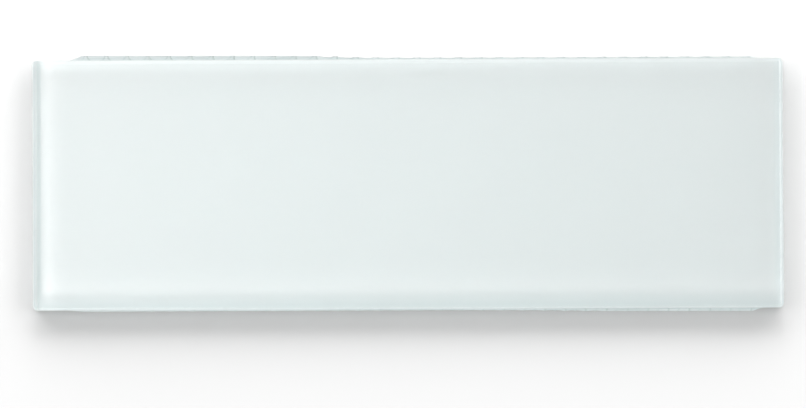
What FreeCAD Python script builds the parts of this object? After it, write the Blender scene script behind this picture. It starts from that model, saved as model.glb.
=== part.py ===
import FreeCAD, Part
import math
import os

os.makedirs("parts", exist_ok=True)

# Tile, in millimetres: X along it, Y across it, Z up from the bedding face
tile_length = 300.0
tile_width = 100.0
tile_thickness = 8.0

# Layers under the glass, each resting on the one before
mesh_thickness = 0.4
coat_thickness = 0.3
coat_foot = mesh_thickness
glass_foot = coat_foot + coat_thickness
glass_top = mesh_thickness + tile_thickness

# Fire-polished edges: the upright corners are just fuller than the arris that runs round them
arris_radius = 1.8
corner_allowance = 0.1
corner_radius = arris_radius + corner_allowance

# Opaque coat, short of the glass edge and leaving a clear rim along the left end,
# where it flares out again towards the front corner
coat_setback = 0.3
clear_rim = 3.2
flare_length = 6.5
flare_width = 2.0
flare_bow_along = 0.55
flare_bow_across = 0.7

# Woven backing: warp yarns across the tile, counted from the one nearest its middle,
# and weft yarns along it, with a row on each long edge
warp_pitch = 8.27
warp_offset = -3.6
warp_width = 1.2
weft_width = 2.0
weft_pitch = tile_width / round(tile_width / warp_pitch)
mesh_left_gap = 11.0
mesh_right_gap = 7.5

# Fringe of the mesh along each long side: its reach at the warp yarns in its wide and thin
# part, and where and over what length it tapers
scallop_share = 0.28
back_fringe = {
    "side": 1,
    "wide_towards": -1,
    "wide": 3.0,
    "thin": 0.9,
    "taper_at": -0.12 * tile_length,
    "taper_length": 0.06 * tile_length,
}
front_fringe = {
    "side": -1,
    "wide_towards": 1,
    "wide": 2.0,
    "thin": 0.6,
    "taper_at": 0.25 * tile_length,
    "taper_length": 0.1 * tile_length,
}

# Knife cut along the fringes, slightly askew: how far it stands off the tile at each end
back_cut_left = 2.2
back_cut_right = 0.95
front_cut_left = 0.4
front_cut_right = 1.35


def point(along, across, up):
    return FreeCAD.Vector(along, across, up)


def rise(height):
    return FreeCAD.Vector(0, 0, height)


# Outline of a straight-sided patch of the mesh from its corners in plan
def patch(corners):
    outline = [point(along, across, 0) for along, across in corners]
    return Part.makePolygon(outline + outline[:1])


# Block centred over the origin with its upright corners rounded
def rounded_block(length, width, height, radius, foot):
    block = Part.makeBox(length, width, height, point(-length / 2, -width / 2, foot))
    uprights = [edge for edge in block.Edges if edge.BoundBox.ZLength > height / 2]
    return block.makeFillet(radius, uprights)


# Glass slab with the arris rounded all the way round its top face
def glass_body():
    slab = rounded_block(tile_length, tile_width, glass_top - glass_foot, corner_radius, glass_foot)
    top_edges = [edge for edge in slab.Edges if edge.BoundBox.ZMin > glass_top - arris_radius]
    return slab.makeFillet(arris_radius, top_edges).Solids[0]


# Part of the back that the coat leaves bare: a strip along the left end, drawn in where
# the coat flares out towards the front corner
def bare_strip():
    left = -tile_length / 2 - coat_setback
    inner = clear_rim - tile_length / 2
    back = tile_width / 2 + coat_setback
    front = -back
    flare_top = point(inner, front + flare_length, coat_foot)
    flare_bow = point(
        inner - flare_bow_across * flare_width,
        front + flare_length * (1 - flare_bow_along),
        coat_foot,
    )
    flare_foot = point(inner - flare_width, front, coat_foot)
    corners = [
        flare_foot,
        point(left, front, coat_foot),
        point(left, back, coat_foot),
        point(inner, back, coat_foot),
        flare_top,
    ]
    sides = [Part.makeLine(start, end) for start, end in zip(corners, corners[1:])]
    sides.append(Part.Arc(flare_top, flare_bow, flare_foot).toShape())
    return Part.Face(Part.Wire(sides)).extrude(rise(coat_thickness))


# Opaque coat under the glass
def back_coat():
    length = tile_length - 2 * coat_setback
    width = tile_width - 2 * coat_setback
    radius = corner_radius - coat_setback
    coat = rounded_block(length, width, coat_thickness, radius, coat_foot)
    return coat.cut(bare_strip()).Solids[0]


# Middles of the warp yarns that the mesh holds
def warp_lines():
    low = mesh_left_gap - tile_length / 2
    high = tile_length / 2 - mesh_right_gap
    first = math.ceil((low - warp_offset) / warp_pitch)
    last = math.floor((high - warp_offset) / warp_pitch)
    return [warp_offset + number * warp_pitch for number in range(first, last + 1)]


# Middles of the weft yarns, from the front edge of the tile to its back edge
def weft_lines():
    rows = round(tile_width / weft_pitch)
    return [row * weft_pitch - tile_width / 2 for row in range(rows + 1)]


# Reach of a fringe at one place: a smooth step from its wide part to its thin part
def fringe_reach(fringe, along):
    step = math.tanh((along - fringe["taper_at"]) / fringe["taper_length"])
    share_wide = (1 + fringe["wide_towards"] * step) / 2
    return fringe["thin"] + (fringe["wide"] - fringe["thin"]) * share_wide


# Weft yarn bowed in between two warp yarns
def scallop(fringe, start, end):
    middle = (start + end) / 2
    middle.y -= fringe["side"] * scallop_share * fringe_reach(fringe, middle.x)
    return Part.Arc(start, middle, end).toShape()


# Scalloped outer edge of a fringe, pointed at each warp yarn, with its first and last point
def fringe_edges(fringe):
    wall = fringe["side"] * tile_width / 2
    points = [
        point(along, wall + fringe["side"] * fringe_reach(fringe, along), 0)
        for along in warp_lines()
    ]
    edges = [scallop(fringe, start, end) for start, end in zip(points, points[1:])]
    return edges, points[0], points[-1]


# Rectangle in plan between two places along and two places across
def rectangle(left, right, low, high):
    return patch([(left, low), (right, low), (right, high), (left, high)])


# Openings between the yarns, column by column
def openings():
    columns = warp_lines()
    rows = weft_lines()
    half_warp = warp_width / 2
    half_weft = weft_width / 2
    return [
        rectangle(left + half_warp, right - half_warp, low + half_weft, high - half_weft)
        for left, right in zip(columns, columns[1:])
        for low, high in zip(rows, rows[1:])
    ]


# Woven part of the mesh between its first and last warp yarn, with both scalloped fringes
def woven_panel():
    back_edges, back_left, back_right = fringe_edges(back_fringe)
    front_edges, front_left, front_right = fringe_edges(front_fringe)
    sides = [Part.makeLine(back_right, front_right), Part.makeLine(front_left, back_left)]
    outline = Part.Wire(Part.__sortEdges__(back_edges + front_edges + sides))
    return Part.makeFace([outline] + openings(), "Part::FaceMakerBullseye")


# Cut ends of one weft yarn, standing out past the first and last warp yarn
def weft_ends(middle):
    columns = warp_lines()
    half_weft = weft_width / 2
    low = middle - half_weft
    high = middle + half_weft
    left = mesh_left_gap - tile_length / 2
    right = tile_length / 2 - mesh_right_gap
    return [
        Part.Face(rectangle(left, columns[0], low, high)),
        Part.Face(rectangle(columns[-1], right, low, high)),
    ]


# Sheet that the knife left, slightly askew to the tile
def cut_sheet():
    left = -tile_length / 2
    right = tile_length / 2
    edge = tile_width / 2
    corners = [
        (left, -edge - front_cut_left),
        (right, -edge - front_cut_right),
        (right, edge + back_cut_right),
        (left, edge + back_cut_left),
    ]
    return Part.Face(patch(corners))


# Backing mesh, one woven piece
def backing_mesh():
    ends = [end for middle in weft_lines() for end in weft_ends(middle)]
    outline = woven_panel().fuse(ends).common(cut_sheet()).removeSplitter()
    return outline.Faces[0].extrude(rise(mesh_thickness))


glass_body().exportStep("parts/glass_body.step")
back_coat().exportStep("parts/back_coat.step")
backing_mesh().exportStep("parts/backing_mesh.step")
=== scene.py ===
import math
import bpy
import numpy as np
from mathutils import Matrix, Vector


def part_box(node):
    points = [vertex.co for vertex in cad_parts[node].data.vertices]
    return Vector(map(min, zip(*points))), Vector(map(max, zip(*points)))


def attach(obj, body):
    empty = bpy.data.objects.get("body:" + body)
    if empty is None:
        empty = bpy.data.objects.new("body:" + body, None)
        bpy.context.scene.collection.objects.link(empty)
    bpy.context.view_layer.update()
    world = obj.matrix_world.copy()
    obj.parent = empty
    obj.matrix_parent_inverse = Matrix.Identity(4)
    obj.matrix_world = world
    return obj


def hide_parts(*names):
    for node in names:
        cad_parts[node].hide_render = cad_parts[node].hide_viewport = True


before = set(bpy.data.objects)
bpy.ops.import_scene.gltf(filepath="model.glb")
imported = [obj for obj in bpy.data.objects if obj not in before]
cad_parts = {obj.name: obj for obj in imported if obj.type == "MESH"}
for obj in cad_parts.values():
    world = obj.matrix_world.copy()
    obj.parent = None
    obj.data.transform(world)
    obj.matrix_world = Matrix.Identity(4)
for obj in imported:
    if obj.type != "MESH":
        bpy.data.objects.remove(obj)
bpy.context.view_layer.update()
print("loaded", sorted(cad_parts))

# driving sizes in metres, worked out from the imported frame
mm = 0.001
glassLow, glassHigh = (np.array(corner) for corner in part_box("glass_body"))
coatLow, coatHigh = (np.array(corner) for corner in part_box("back_coat"))
meshLow, meshHigh = (np.array(corner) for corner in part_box("backing_mesh"))
halfLength = glassHigh[0]
halfWidth = glassHigh[1]
glassFoot = glassLow[2]
glassTop = glassHigh[2]
arrisRadius = 1.8 * mm
cornerRadius = 1.9 * mm
coatSetback = 0.3 * mm
clearRim = 3.2 * mm
warpPitch = 8.27 * mm
warpOffset = -3.6 * mm
weftPitch = 2 * halfWidth / round(2 * halfWidth / warpPitch)
draws = np.random.default_rng(11)


# makes a mesh object at the origin from vertices and faces worked out in whole arrays
def meshObject(name, verts, faces, smooth=True):
    data = bpy.data.meshes.new(name)
    data.from_pydata(verts.tolist(), [], faces)
    data.polygons.foreach_set("use_smooth", np.full(len(data.polygons), smooth))
    data.update()
    thing = bpy.data.objects.new(name, data)
    bpy.context.scene.collection.objects.link(thing)
    return thing


# marks the edges that lie at one height as sharp, so that the shading breaks there
def sharpen(thing, height, tolerance=1e-7):
    data = thing.data
    level = np.empty(len(data.vertices) * 3)
    data.vertices.foreach_get("co", level)
    ends = np.empty(len(data.edges) * 2, dtype=int)
    data.edges.foreach_get("vertices", ends)
    atHeight = np.abs(level[2::3] - height) < tolerance
    data.edges.foreach_set("use_edge_sharp", atHeight[ends.reshape(-1, 2)].all(axis=1))


# quads between rings of equal length that close on themselves
def ringQuads(rings, around):
    ring, step = np.meshgrid(np.arange(rings - 1), np.arange(around), indexing="ij")
    nextStep = (step + 1) % around
    quads = np.stack([ring * around + step, ring * around + nextStep,
                      (ring + 1) * around + nextStep, (ring + 1) * around + step], axis=-1)
    return quads.reshape(-1, 4)


# many closed tubes of one layout in one mesh: rings holds tube, ring, step round and xyz;
# both ends of each tube are closed by a flat face
def tubes(name, rings):
    count, along, around = rings.shape[:3]
    perTube = along * around
    start = np.arange(count)[:, None, None] * perTube
    walls = (ringQuads(along, around)[None] + start).reshape(-1, 4)
    firsts = start[:, :, 0] + np.arange(around)[None, ::-1]
    lasts = start[:, :, 0] + (along - 1) * around + np.arange(around)[None]
    faces = walls.tolist() + firsts.tolist() + lasts.tolist()
    return meshObject(name, rings.reshape(-1, 3), faces)


# points round a rounded rectangle, anticlockwise from above, with outward directions:
# straight runs of even points joined by quarter circles
def roundedOutline(halfX, halfY, radius, alongX, alongY, perCorner):
    points, normals = [], []
    centres = [(1, -1), (1, 1), (-1, 1), (-1, -1)]
    for number, (signX, signY) in enumerate(centres):
        turn = -math.pi / 2 + number * math.pi / 2 + np.linspace(0, math.pi / 2, perCorner + 1)
        direction = np.stack([np.cos(turn), np.sin(turn)], axis=1)
        centre = np.array([signX * (halfX - radius), signY * (halfY - radius)])
        points.append(centre + radius * direction)
        normals.append(direction)
        following = centres[(number + 1) % 4]
        nextCentre = np.array(following) * np.array([halfX - radius, halfY - radius])
        steps = alongY if number % 2 == 0 else alongX
        share = np.linspace(0, 1, steps + 1)[1:-1, None]
        last = direction[-1]
        start = centre + radius * last
        end = nextCentre + radius * last
        points.append(start * (1 - share) + end * share)
        normals.append(np.repeat(last[None], steps - 1, axis=0))
    return np.concatenate(points), np.concatenate(normals)


# smooth step from 0 to 1 over the run from 0 to 1
def smoothStep(share):
    held = np.clip(share, 0, 1)
    return held * held * (3 - 2 * held)


def newMaterial(name):
    material = bpy.data.materials.new(name)
    material.use_nodes = True
    tree = material.node_tree
    shader = tree.nodes["Principled BSDF"]
    return material, tree, shader


# noise over the piece's own coordinates, with its stretch along each axis
def noiseOn(tree, scale, detail, stretch=(1, 1, 1)):
    place = tree.nodes.new("ShaderNodeTexCoord")
    mapping = tree.nodes.new("ShaderNodeMapping")
    mapping.inputs["Scale"].default_value = stretch
    noise = tree.nodes.new("ShaderNodeTexNoise")
    noise.inputs["Scale"].default_value = scale
    noise.inputs["Detail"].default_value = detail
    tree.links.new(place.outputs["Object"], mapping.inputs["Vector"])
    tree.links.new(mapping.outputs["Vector"], noise.inputs["Vector"])
    return noise


def colourRamp(tree, source, stops):
    ramp = tree.nodes.new("ShaderNodeValToRGB")
    elements = ramp.color_ramp.elements
    while len(elements) < len(stops):
        elements.new(0.5)
    for element, (position, colour) in zip(elements, stops):
        element.position = position
        element.color = (*colour, 1)
    tree.links.new(source, ramp.inputs["Fac"])
    return ramp


# one step of arithmetic on numbers or on other nodes' values
def mathNode(tree, operation, *terms):
    node = tree.nodes.new("ShaderNodeMath")
    node.operation = operation
    for socket, term in zip(node.inputs, terms):
        if isinstance(term, (int, float)):
            socket.default_value = term
        else:
            tree.links.new(term, socket)
    return node.outputs["Value"]


def bumpFrom(tree, source, strength, distance):
    bump = tree.nodes.new("ShaderNodeBump")
    bump.inputs["Strength"].default_value = strength
    bump.inputs["Distance"].default_value = distance
    tree.links.new(source, bump.inputs["Height"])
    return bump


# puts a finished piece on the tile, over the solid it stands for and in its slot
def fitPiece(thing, material, node):
    thing.data.materials.append(material)
    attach(thing, "root")
    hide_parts(node)


# clear glass tile: each ring is the outline drawn in by the arris, whose height and inset
# follow a quarter circle; flat caps close the top and the foot
glass = {
    "around": (180, 70, 10),
    "arrisSteps": 14,
    "tint": (0.940, 0.987, 0.990),
    "tintDistance": 0.030,
    "ior": 1.52,
    "waveScale": 14.0,
    "waveDetail": 2.0,
    "waveStrength": 0.5,
    "waveDepth": 0.02 * mm,
    "footTint": (0.98, 1.0, 0.995),
    "footClearness": 0.1,
    "footRoughness": 0.5,
    "grainScale": 900.0,
    "grainDetail": 3.0,
    "grainStrength": 0.4,
}


def makeGlass():
    outline, outward = roundedOutline(halfLength, halfWidth, cornerRadius, *glass["around"])
    around = len(outline)
    angle = np.linspace(0, math.pi / 2, glass["arrisSteps"] + 1)
    inset = np.concatenate([[0, 0], arrisRadius * (1 - np.cos(angle))])
    height = np.concatenate([[glassFoot, (glassFoot + glassTop) / 2],
                             glassTop - arrisRadius + arrisRadius * np.sin(angle)])
    flat = outline[None] - inset[:, None, None] * outward[None]
    level = np.repeat(height[:, None, None], around, axis=1)
    verts = np.concatenate([flat, level], axis=2).reshape(-1, 3)
    rings = len(inset)
    faces = ringQuads(rings, around).tolist()
    foot = list(range(around))[::-1]
    top = [(rings - 1) * around + step for step in range(around)]
    thing = meshObject("glass_tile", verts, faces + [foot, top])
    for cap in list(thing.data.polygons)[-2:]:
        cap.use_smooth = False
    sharpen(thing, glassFoot)
    material, tree, shader = newMaterial("clear_glass")
    shader.inputs["Base Color"].default_value = (1, 1, 1, 1)
    shader.inputs["Roughness"].default_value = 0.0
    shader.inputs["IOR"].default_value = glass["ior"]
    shader.inputs["Transmission Weight"].default_value = 1.0
    wave = noiseOn(tree, glass["waveScale"], glass["waveDetail"])
    bump = bumpFrom(tree, wave.outputs["Fac"], glass["waveStrength"], glass["waveDepth"])
    tree.links.new(bump.outputs["Normal"], shader.inputs["Normal"])
    absorb = tree.nodes.new("ShaderNodeVolumeAbsorption")
    absorb.inputs["Color"].default_value = (*glass["tint"], 1)
    absorb.inputs["Density"].default_value = 1 / glass["tintDistance"]
    tree.links.new(absorb.outputs["Volume"], tree.nodes["Material Output"].inputs["Volume"])
    fitPiece(thing, material, "glass_body")
    thing.data.materials.append(groundMaterial())
    thing.data.polygons[len(faces)].material_index = 1
    return thing


# the foot is ground, so it scatters most of the light that reaches it
def groundMaterial():
    material, tree, shader = newMaterial("ground_glass")
    shader.inputs["Base Color"].default_value = (*glass["footTint"], 1)
    shader.inputs["IOR"].default_value = glass["ior"]
    shader.inputs["Transmission Weight"].default_value = glass["footClearness"]
    shader.inputs["Roughness"].default_value = glass["footRoughness"]
    grain = noiseOn(tree, glass["grainScale"], glass["grainDetail"])
    bump = bumpFrom(tree, grain.outputs["Fac"], glass["grainStrength"], glass["waveDepth"])
    tree.links.new(bump.outputs["Normal"], shader.inputs["Normal"])
    return material


glassTile = makeGlass()
print("glass", len(glassTile.data.polygons))


# opaque coat: outline of the back with the clear rim left bare at the left end, flaring
# out to the front corner along a bent curve; its upper face lies a hair inside the glass.
# Along the front and right edges its colour is darkened: painted shade for the dimmer light
# near the glass walls
coat = {
    "around": (300, 100, 8),
    "contact": 0.02 * mm,
    "flareLength": 6.5 * mm,
    "flareWidth": 2.0 * mm,
    "flarePower": 0.7,
    "pale": (0.985, 0.985, 0.98),
    "cloudy": (0.978, 0.98, 0.974),
    "worn": (0.80, 0.81, 0.79),
    "roughness": 0.7,
    "brushScale": 60.0,
    "brushDetail": 5.0,
    "brushStretch": (1, 14, 14),
    "brushFrom": 0.3,
    "brushTo": 0.55,
    "brushStrength": 0.6,
    "brushDepth": 0.05 * mm,
    # width of the painted shade along the front and right edges, and its colour
    "paintedShadeFront": 9.0 * mm,
    "paintedShadeRight": 4.0 * mm,
    "paintedShadeColour": (0.82, 0.86, 0.86),
}


def coatMaterial(name, shade):
    material, tree, shader = newMaterial(name)
    shader.inputs["Roughness"].default_value = coat["roughness"]
    brush = noiseOn(tree, coat["brushScale"], coat["brushDetail"], coat["brushStretch"])
    stops = [(coat["brushFrom"], shade), (coat["brushTo"], coat["pale"])]
    ramp = colourRamp(tree, brush.outputs["Fac"], stops)
    place = tree.nodes.new("ShaderNodeTexCoord")
    axes = tree.nodes.new("ShaderNodeSeparateXYZ")
    tree.links.new(place.outputs["Object"], axes.inputs["Vector"])
    # painted shade: the coat's colour darkens towards the front and right edges, standing in
    # for the dimmer light near the glass walls
    nearFront = mathNode(tree, "MULTIPLY_ADD", axes.outputs["Y"], -1 / coat["paintedShadeFront"],
                         1 - halfWidth / coat["paintedShadeFront"])
    nearRight = mathNode(tree, "MULTIPLY_ADD", axes.outputs["X"], 1 / coat["paintedShadeRight"],
                         1 - halfLength / coat["paintedShadeRight"])
    paintedShadeMask = mathNode(tree, "MAXIMUM", nearFront, nearRight)
    # mixes that painted shade into the coat's colour
    thin = tree.nodes.new("ShaderNodeMix")
    thin.data_type = "RGBA"
    thin.inputs["B"].default_value = (*coat["paintedShadeColour"], 1)
    tree.links.new(mathNode(tree, "MAXIMUM", paintedShadeMask, 0.0), thin.inputs["Factor"])
    tree.links.new(ramp.outputs["Color"], thin.inputs["A"])
    tree.links.new(thin.outputs["Result"], shader.inputs["Base Color"])
    bump = bumpFrom(tree, brush.outputs["Fac"], coat["brushStrength"], coat["brushDepth"])
    tree.links.new(bump.outputs["Normal"], shader.inputs["Normal"])
    return material


def makeCoat():
    outline, outward = roundedOutline(halfLength - coatSetback, halfWidth - coatSetback,
                                      cornerRadius - coatSetback, *coat["around"])
    share = np.clip((outline[:, 1] + halfWidth) / coat["flareLength"], 0, 1)
    rimAt = clearRim - halfLength - coat["flareWidth"] * (1 - share) ** coat["flarePower"]
    along = np.maximum(outline[:, 0], rimAt)
    flat = np.stack([along, outline[:, 1]], axis=1)
    around = len(flat)
    height = np.array([coatLow[2], coatHigh[2] + coat["contact"]])
    level = np.repeat(height[:, None, None], around, axis=1)
    verts = np.concatenate([np.repeat(flat[None], 2, axis=0), level], axis=2).reshape(-1, 3)
    faces = ringQuads(2, around).tolist()
    faces += [list(range(around))[::-1], [around + step for step in range(around)]]
    thing = meshObject("white_coat", verts, faces, smooth=False)
    fitPiece(thing, coatMaterial("white_coat", coat["cloudy"]), "back_coat")
    thing.data.materials.append(coatMaterial("coat_back", coat["worn"]))
    thing.data.polygons[around].material_index = 1
    return thing


whiteCoat = makeCoat()
print("coat", len(whiteCoat.data.polygons))

# fringes: reach of the mesh past each long side at the warp yarns in its wide and thin
# part, where it tapers, and how far the knife cut stands off the tile at each end
backFringe = {"side": 1, "wideTowards": -1, "wide": 3.0 * mm, "thin": 0.9 * mm,
              "taperAt": -0.24 * halfLength, "taperLength": 0.12 * halfLength,
              "cutLeft": 2.2 * mm, "cutRight": 0.95 * mm}
frontFringe = {"side": -1, "wideTowards": 1, "wide": 2.0 * mm, "thin": 0.6 * mm,
               "taperAt": 0.5 * halfLength, "taperLength": 0.2 * halfLength,
               "cutLeft": 0.4 * mm, "cutRight": 1.35 * mm}
scallopShare = 0.28
trim = 0.04 * mm
frayLength = 7.0 * mm
frayLeft = meshLow[0] + 2.5 * mm
frayRight = meshHigh[0] + 0.5 * mm


# reach of a fringe: a smooth step from wide to thin, drawn in between warp yarns by a
# parabola, drawn in again where the yarns end at both ends, and held to the knife cut
def fringeReach(fringe, along):
    step = np.tanh((along - fringe["taperAt"]) / fringe["taperLength"])
    shareWide = (1 + fringe["wideTowards"] * step) / 2
    reach = fringe["thin"] + (fringe["wide"] - fringe["thin"]) * shareWide
    between = np.mod((along - warpOffset) / warpPitch, 1)
    reach = reach * (1 - 4 * scallopShare * between * (1 - between))
    share = (along + halfLength) / (2 * halfLength)
    reach = reach * smoothStep((along - frayLeft) / frayLength)
    reach = reach * smoothStep((frayRight - along) / frayLength)
    cut = fringe["cutLeft"] + (fringe["cutRight"] - fringe["cutLeft"]) * share
    return np.minimum(reach, cut) - trim


# weft rovings: flat tubes along the tile. The half width narrows where the warp yarns
# grip it, and the outer edge of the two outer ones follows the fringe
weft = {
    "halfWidth": 1.0 * mm,
    "gripShare": 0.22,
    "gripPower": 6,
    "middleHeight": 0.19 * mm,
    "halfThickness": 0.11 * mm,
    "gripThickness": 0.08 * mm,
    "perPitch": 14,
    "around": 12,
    "flatness": 0.6,
    "wander": 0.05 * mm,
}


def makeWeft():
    rows = round(2 * halfWidth / weftPitch)
    along = np.linspace(meshLow[0], meshHigh[0],
                        round((meshHigh[0] - meshLow[0]) / warpPitch * weft["perPitch"]) + 1)
    middle = (np.arange(rows + 1) * weftPitch - halfWidth)[:, None] + 0 * along[None]
    grip = np.cos(math.pi * (along - warpOffset) / warpPitch)[None] ** weft["gripPower"]
    noise = draws.normal(0, 1, middle.shape)
    noise = (noise + np.roll(noise, 1, axis=1) + np.roll(noise, 2, axis=1)) / 3
    half = weft["halfWidth"] * (1 - weft["gripShare"] * grip) + weft["wander"] * noise
    low = middle - half
    high = middle + half
    low[0] = -halfWidth - fringeReach(frontFringe, along)
    high[-1] = halfWidth + fringeReach(backFringe, along)
    thick = weft["halfThickness"] + (weft["gripThickness"] - weft["halfThickness"]) * grip
    turn = np.linspace(0, 2 * math.pi, weft["around"], endpoint=False)
    lean = np.sign(np.cos(turn)) * np.abs(np.cos(turn)) ** weft["flatness"]
    across = (low + high)[..., None] / 2 + (high - low)[..., None] / 2 * lean
    height = weft["middleHeight"] + thick[..., None] * np.sin(turn) + 0 * across
    forward = along[None, :, None] + 0 * across
    return tubes("mesh_weft", np.stack([forward, across, height], axis=-1))


# warp yarns: two to a column. At place y each stands off the column's middle by a gap
# that closes over a weft roving and opens again before the next; one passes over the
# rovings and the other is pressed into them
warp = {
    "toMiddle": -1.35 * mm,
    "wideGap": 2.3 * mm,
    "closeGap": 0.4 * mm,
    "closeFrom": -1.2 * mm,
    "closeLength": 3.4 * mm,
    "openFrom": 3.0 * mm,
    "openLength": 3.8 * mm,
    "shear": 0.6,
    "shearFrom": -110 * mm,
    "shearLength": 40 * mm,
    "overHeight": 0.33 * mm,
    "underHeight": 0.29 * mm,
    "betweenHeight": 0.15 * mm,
    "halfWidth": 0.3 * mm,
    "halfThickness": 0.06 * mm,
    "steps": 156,
    "around": 8,
    "wander": 0.08 * mm,
}


def makeWarp():
    first = math.ceil((meshLow[0] - warpOffset) / warpPitch)
    last = math.floor((meshHigh[0] - warpOffset) / warpPitch)
    columns = (warpOffset + np.arange(first, last + 1) * warpPitch)[:, None]
    foot = -halfWidth - fringeReach(frontFringe, columns)
    head = halfWidth + fringeReach(backFringe, columns)
    across = foot + (head - foot) * np.linspace(0, 1, warp["steps"])[None]
    offset = np.mod(across + halfWidth - warp["closeFrom"], weftPitch) + warp["closeFrom"]
    closing = smoothStep((offset - warp["closeFrom"]) / warp["closeLength"])
    opening = smoothStep((offset - warp["openFrom"]) / warp["openLength"])
    gap = warp["wideGap"] + (warp["closeGap"] - warp["wideGap"]) * (closing - opening)
    shear = warp["shear"] * smoothStep((columns - warp["shearFrom"]) / warp["shearLength"])
    nearRow = (offset + weftPitch / 2) % weftPitch - weftPitch / 2
    rise = np.cos(math.pi * nearRow / weftPitch) ** 2
    drift = draws.normal(0, 1, (2,) + across.shape)
    drift = warp["wander"] * (drift + np.roll(drift, 1, axis=2) + np.roll(drift, 2, axis=2)) / 3
    turn = np.linspace(0, 2 * math.pi, warp["around"], endpoint=False)
    yarns = []
    heights = (warp["overHeight"], warp["underHeight"])
    for number, (hand, top) in enumerate(zip((1, -1), heights)):
        forward = columns + warp["toMiddle"] + hand * gap + shear * nearRow + drift[number]
        forward = np.clip(forward, meshLow[0] + warp["halfWidth"],
                          meshHigh[0] - warp["halfWidth"])
        height = warp["betweenHeight"] + (top - warp["betweenHeight"]) * rise
        yarns.append(np.stack([
            forward[..., None] + warp["halfWidth"] * np.cos(turn),
            across[..., None] + 0 * turn,
            height[..., None] + warp["halfThickness"] * np.sin(turn)], axis=-1)[:, :, ::-1])
    return tubes("mesh_warp_over", yarns[0]), tubes("mesh_warp_pressed", yarns[1])


# glass-fibre yarn: pale, with darker strands drawn out along it
yarn = {
    "weft": ((0.58, 0.65, 0.65), (0.77, 0.82, 0.82), (60, 5000, 5000)),
    "over": ((0.46, 0.54, 0.53), (0.62, 0.69, 0.68), (5000, 60, 5000)),
    "pressed": ((0.50, 0.58, 0.58), (0.66, 0.73, 0.73), (5000, 60, 5000)),
    "strandScale": 1.0,
    "strandDetail": 3.0,
    "strandFrom": 0.3,
    "strandTo": 0.65,
    "strandStrength": 0.8,
    "strandDepth": 0.02 * mm,
    "roughness": 0.45,
    "resinGloss": 0.3,
}


def yarnMaterial(kind):
    dark, pale, stretch = yarn[kind]
    material, tree, shader = newMaterial(kind + "_yarn")
    strands = noiseOn(tree, yarn["strandScale"], yarn["strandDetail"], stretch)
    stops = [(yarn["strandFrom"], dark), (yarn["strandTo"], pale)]
    ramp = colourRamp(tree, strands.outputs["Fac"], stops)
    tree.links.new(ramp.outputs["Color"], shader.inputs["Base Color"])
    bump = bumpFrom(tree, strands.outputs["Fac"], yarn["strandStrength"], yarn["strandDepth"])
    tree.links.new(bump.outputs["Normal"], shader.inputs["Normal"])
    shader.inputs["Roughness"].default_value = yarn["roughness"]
    shader.inputs["Coat Weight"].default_value = yarn["resinGloss"]
    return material


meshWeft = makeWeft()
meshOver, meshPressed = makeWarp()
for thing, kind in ((meshWeft, "weft"), (meshOver, "over"), (meshPressed, "pressed")):
    fitPiece(thing, yarnMaterial(kind), "backing_mesh")
    print(thing.name, len(thing.data.polygons))

# floor: plain paper a hair under the mesh, which lamps of its own light to white
floor = {"half": 3.0, "drop": 0.02 * mm, "colour": (0.45, 0.45, 0.45), "roughness": 0.9}


def makeFloor():
    corners = np.array([[-1, -1], [1, -1], [1, 1], [-1, 1]]) * floor["half"]
    verts = np.column_stack([corners, np.full(len(corners), -floor["drop"])])
    thing = meshObject("floor", verts, [[0, 1, 2, 3]], smooth=False)
    material, tree, shader = newMaterial("paper")
    shader.inputs["Roughness"].default_value = floor["roughness"]
    shader.inputs["Specular IOR Level"].default_value = 0.0
    shader.inputs["Base Color"].default_value = (*floor["colour"], 1)
    thing.data.materials.append(material)
    return thing


paper = makeFloor()
print("floor", 2 * floor["half"], "m wide")


# soft lamp that faces the tile and lights only the things given; its brightness is that
# of its surface
def areaLamp(name, place, size, brightness, things):
    data = bpy.data.lights.new(name, "AREA")
    data.shape = "RECTANGLE"
    data.size, data.size_y = size
    data.energy = brightness * math.pi * size[0] * size[1]
    lamp = bpy.data.objects.new(name, data)
    lamp.location = place
    lamp.rotation_euler = (-Vector(place)).to_track_quat("-Z", "Y").to_euler()
    bpy.context.scene.collection.objects.link(lamp)
    lit = bpy.data.collections.new(name + "_lights")
    for thing in things:
        lit.objects.link(thing)
    lamp.light_linking.receiver_collection = lit
    return lamp


# lamps over the paper, strongest from behind: place, size and brightness
paperLamps = {
    "back_left_softbox": ((-0.6, 1.38, 0.65), (2.1, 1.1), 7.0),
    "back_right_softbox": ((0.6, 1.38, 0.65), (2.1, 1.1), 6.8),
    "left_paper_softbox": ((-1.25, 0, 1.1), (1.0, 1.0), 4.5),
    "right_paper_softbox": ((1.25, 0, 1.1), (1.0, 1.0), 4.3),
}
for name, (place, size, brightness) in paperLamps.items():
    areaLamp(name, place, size, brightness, [paper])

# lamps near the tile's left end, whose light falls off along it: place, size, brightness
# and colour, the left one a little warmer than the room
tileLamps = {
    "left_softbox": ((-0.45, 0, 0.62), (0.45, 0.6), 2.06, (1.0, 0.945, 0.95)),
    "front_softbox": ((-0.45, -0.75, 0.5), (0.7, 0.5), 2.6, (1.0, 1.0, 1.0)),
}
tilePieces = [glassTile, whiteCoat, meshWeft, meshOver, meshPressed]
for name, (place, size, brightness, colour) in tileLamps.items():
    areaLamp(name, place, size, brightness, tilePieces).data.color = colour

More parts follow.
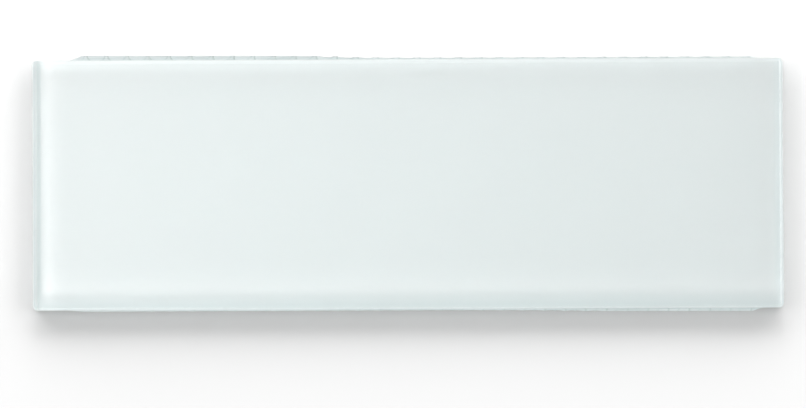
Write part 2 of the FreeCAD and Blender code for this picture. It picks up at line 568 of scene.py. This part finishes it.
# cards stood round the tile, which only its gloss shows: place, size and brightness
cards = {
    "back_card": ((0, 0.9, 0.55), (2.4, 1.1), 1.2),
    "high_back_card": ((0, 0.75, 1.15), (2.4, 0.9), 1.2),
    "left_card": ((-0.9, 0, 0.4), (1.6, 0.8), 0.5),
    "right_card": ((0.85, 0, 0.66), (1.2, 0.5), 5.2),
    "front_card": ((0, -0.9, 0.08), (2.4, 0.16), 2.0),
}
for name, (place, size, brightness) in cards.items():
    card = areaLamp(name, place, size, brightness, tilePieces)
    card.visible_diffuse = False
    card.visible_transmission = False
print("lamps", len(paperLamps) + len(tileLamps), "cards", len(cards))

# room: even light, which towards the horizon grows stronger at the back and at the left
room = {"level": 0.60, "slopes": {"X": -0.12, "Y": 0.10}}


def makeRoom():
    world = bpy.data.worlds.new("room")
    bpy.context.scene.world = world
    world.use_nodes = True
    tree = world.node_tree
    background = tree.nodes["Background"]
    background.inputs["Color"].default_value = (1, 1, 1, 1)
    direction = tree.nodes.new("ShaderNodeTexCoord")
    axes = tree.nodes.new("ShaderNodeSeparateXYZ")
    tree.links.new(direction.outputs["Generated"], axes.inputs["Vector"])
    tilt = mathNode(tree, "MULTIPLY", axes.outputs["X"], room["slopes"]["X"])
    tilt = mathNode(tree, "MULTIPLY_ADD", axes.outputs["Y"], room["slopes"]["Y"], tilt)
    low = mathNode(tree, "SUBTRACT", 1.0, axes.outputs["Z"])
    level = mathNode(tree, "MULTIPLY_ADD", tilt, low, room["level"])
    tree.links.new(level, background.inputs["Strength"])


makeRoom()
print("room", room["level"])

# camera: a long lens almost straight above the tile, leant a little to its front; the
# centres are in pixels of the picture, from its top left
view = {
    "lean": math.radians(1.0),
    "roll": math.radians(-0.25),
    "distance": 2.3,
    "lens": 256.3,
    "sensorWidth": 36.0,
    "tileCentre": (408.0, 184.5),
    "frameCentre": (403.0, 204.0),
    "pixelSize": 1 / 2495.2,
    "farthest": 100,
}


def makeCamera():
    tileX, tileY = view["tileCentre"]
    frameX, frameY = view["frameCentre"]
    aim = Vector((frameX - tileX, tileY - frameY, 0)) * view["pixelSize"]
    back = Vector((0, -math.sin(view["lean"]), math.cos(view["lean"])))
    right = Vector((1, 0, 0))
    up = back.cross(right)
    turn = Matrix((right, up, back)).transposed() @ Matrix.Rotation(view["roll"], 3, "Z")
    data = bpy.data.cameras.new("camera")
    data.lens = view["lens"]
    data.sensor_width = view["sensorWidth"]
    data.clip_end = view["farthest"]
    camera = bpy.data.objects.new("camera", data)
    camera.matrix_world = Matrix.Translation(aim + back * view["distance"]) @ turn.to_4x4()
    bpy.context.scene.collection.objects.link(camera)
    return camera


scene = bpy.context.scene
scene.camera = makeCamera()
scene.view_settings.view_transform = "Standard"
print("camera", view["lens"], "mm")

# light is kept in the slab through many reflections, and its interfaces stay sharp
scene.cycles.max_bounces = 24
scene.cycles.diffuse_bounces = 10
scene.cycles.glossy_bounces = 20
scene.cycles.transmission_bounces = 16
scene.cycles.blur_glossy = 0.0
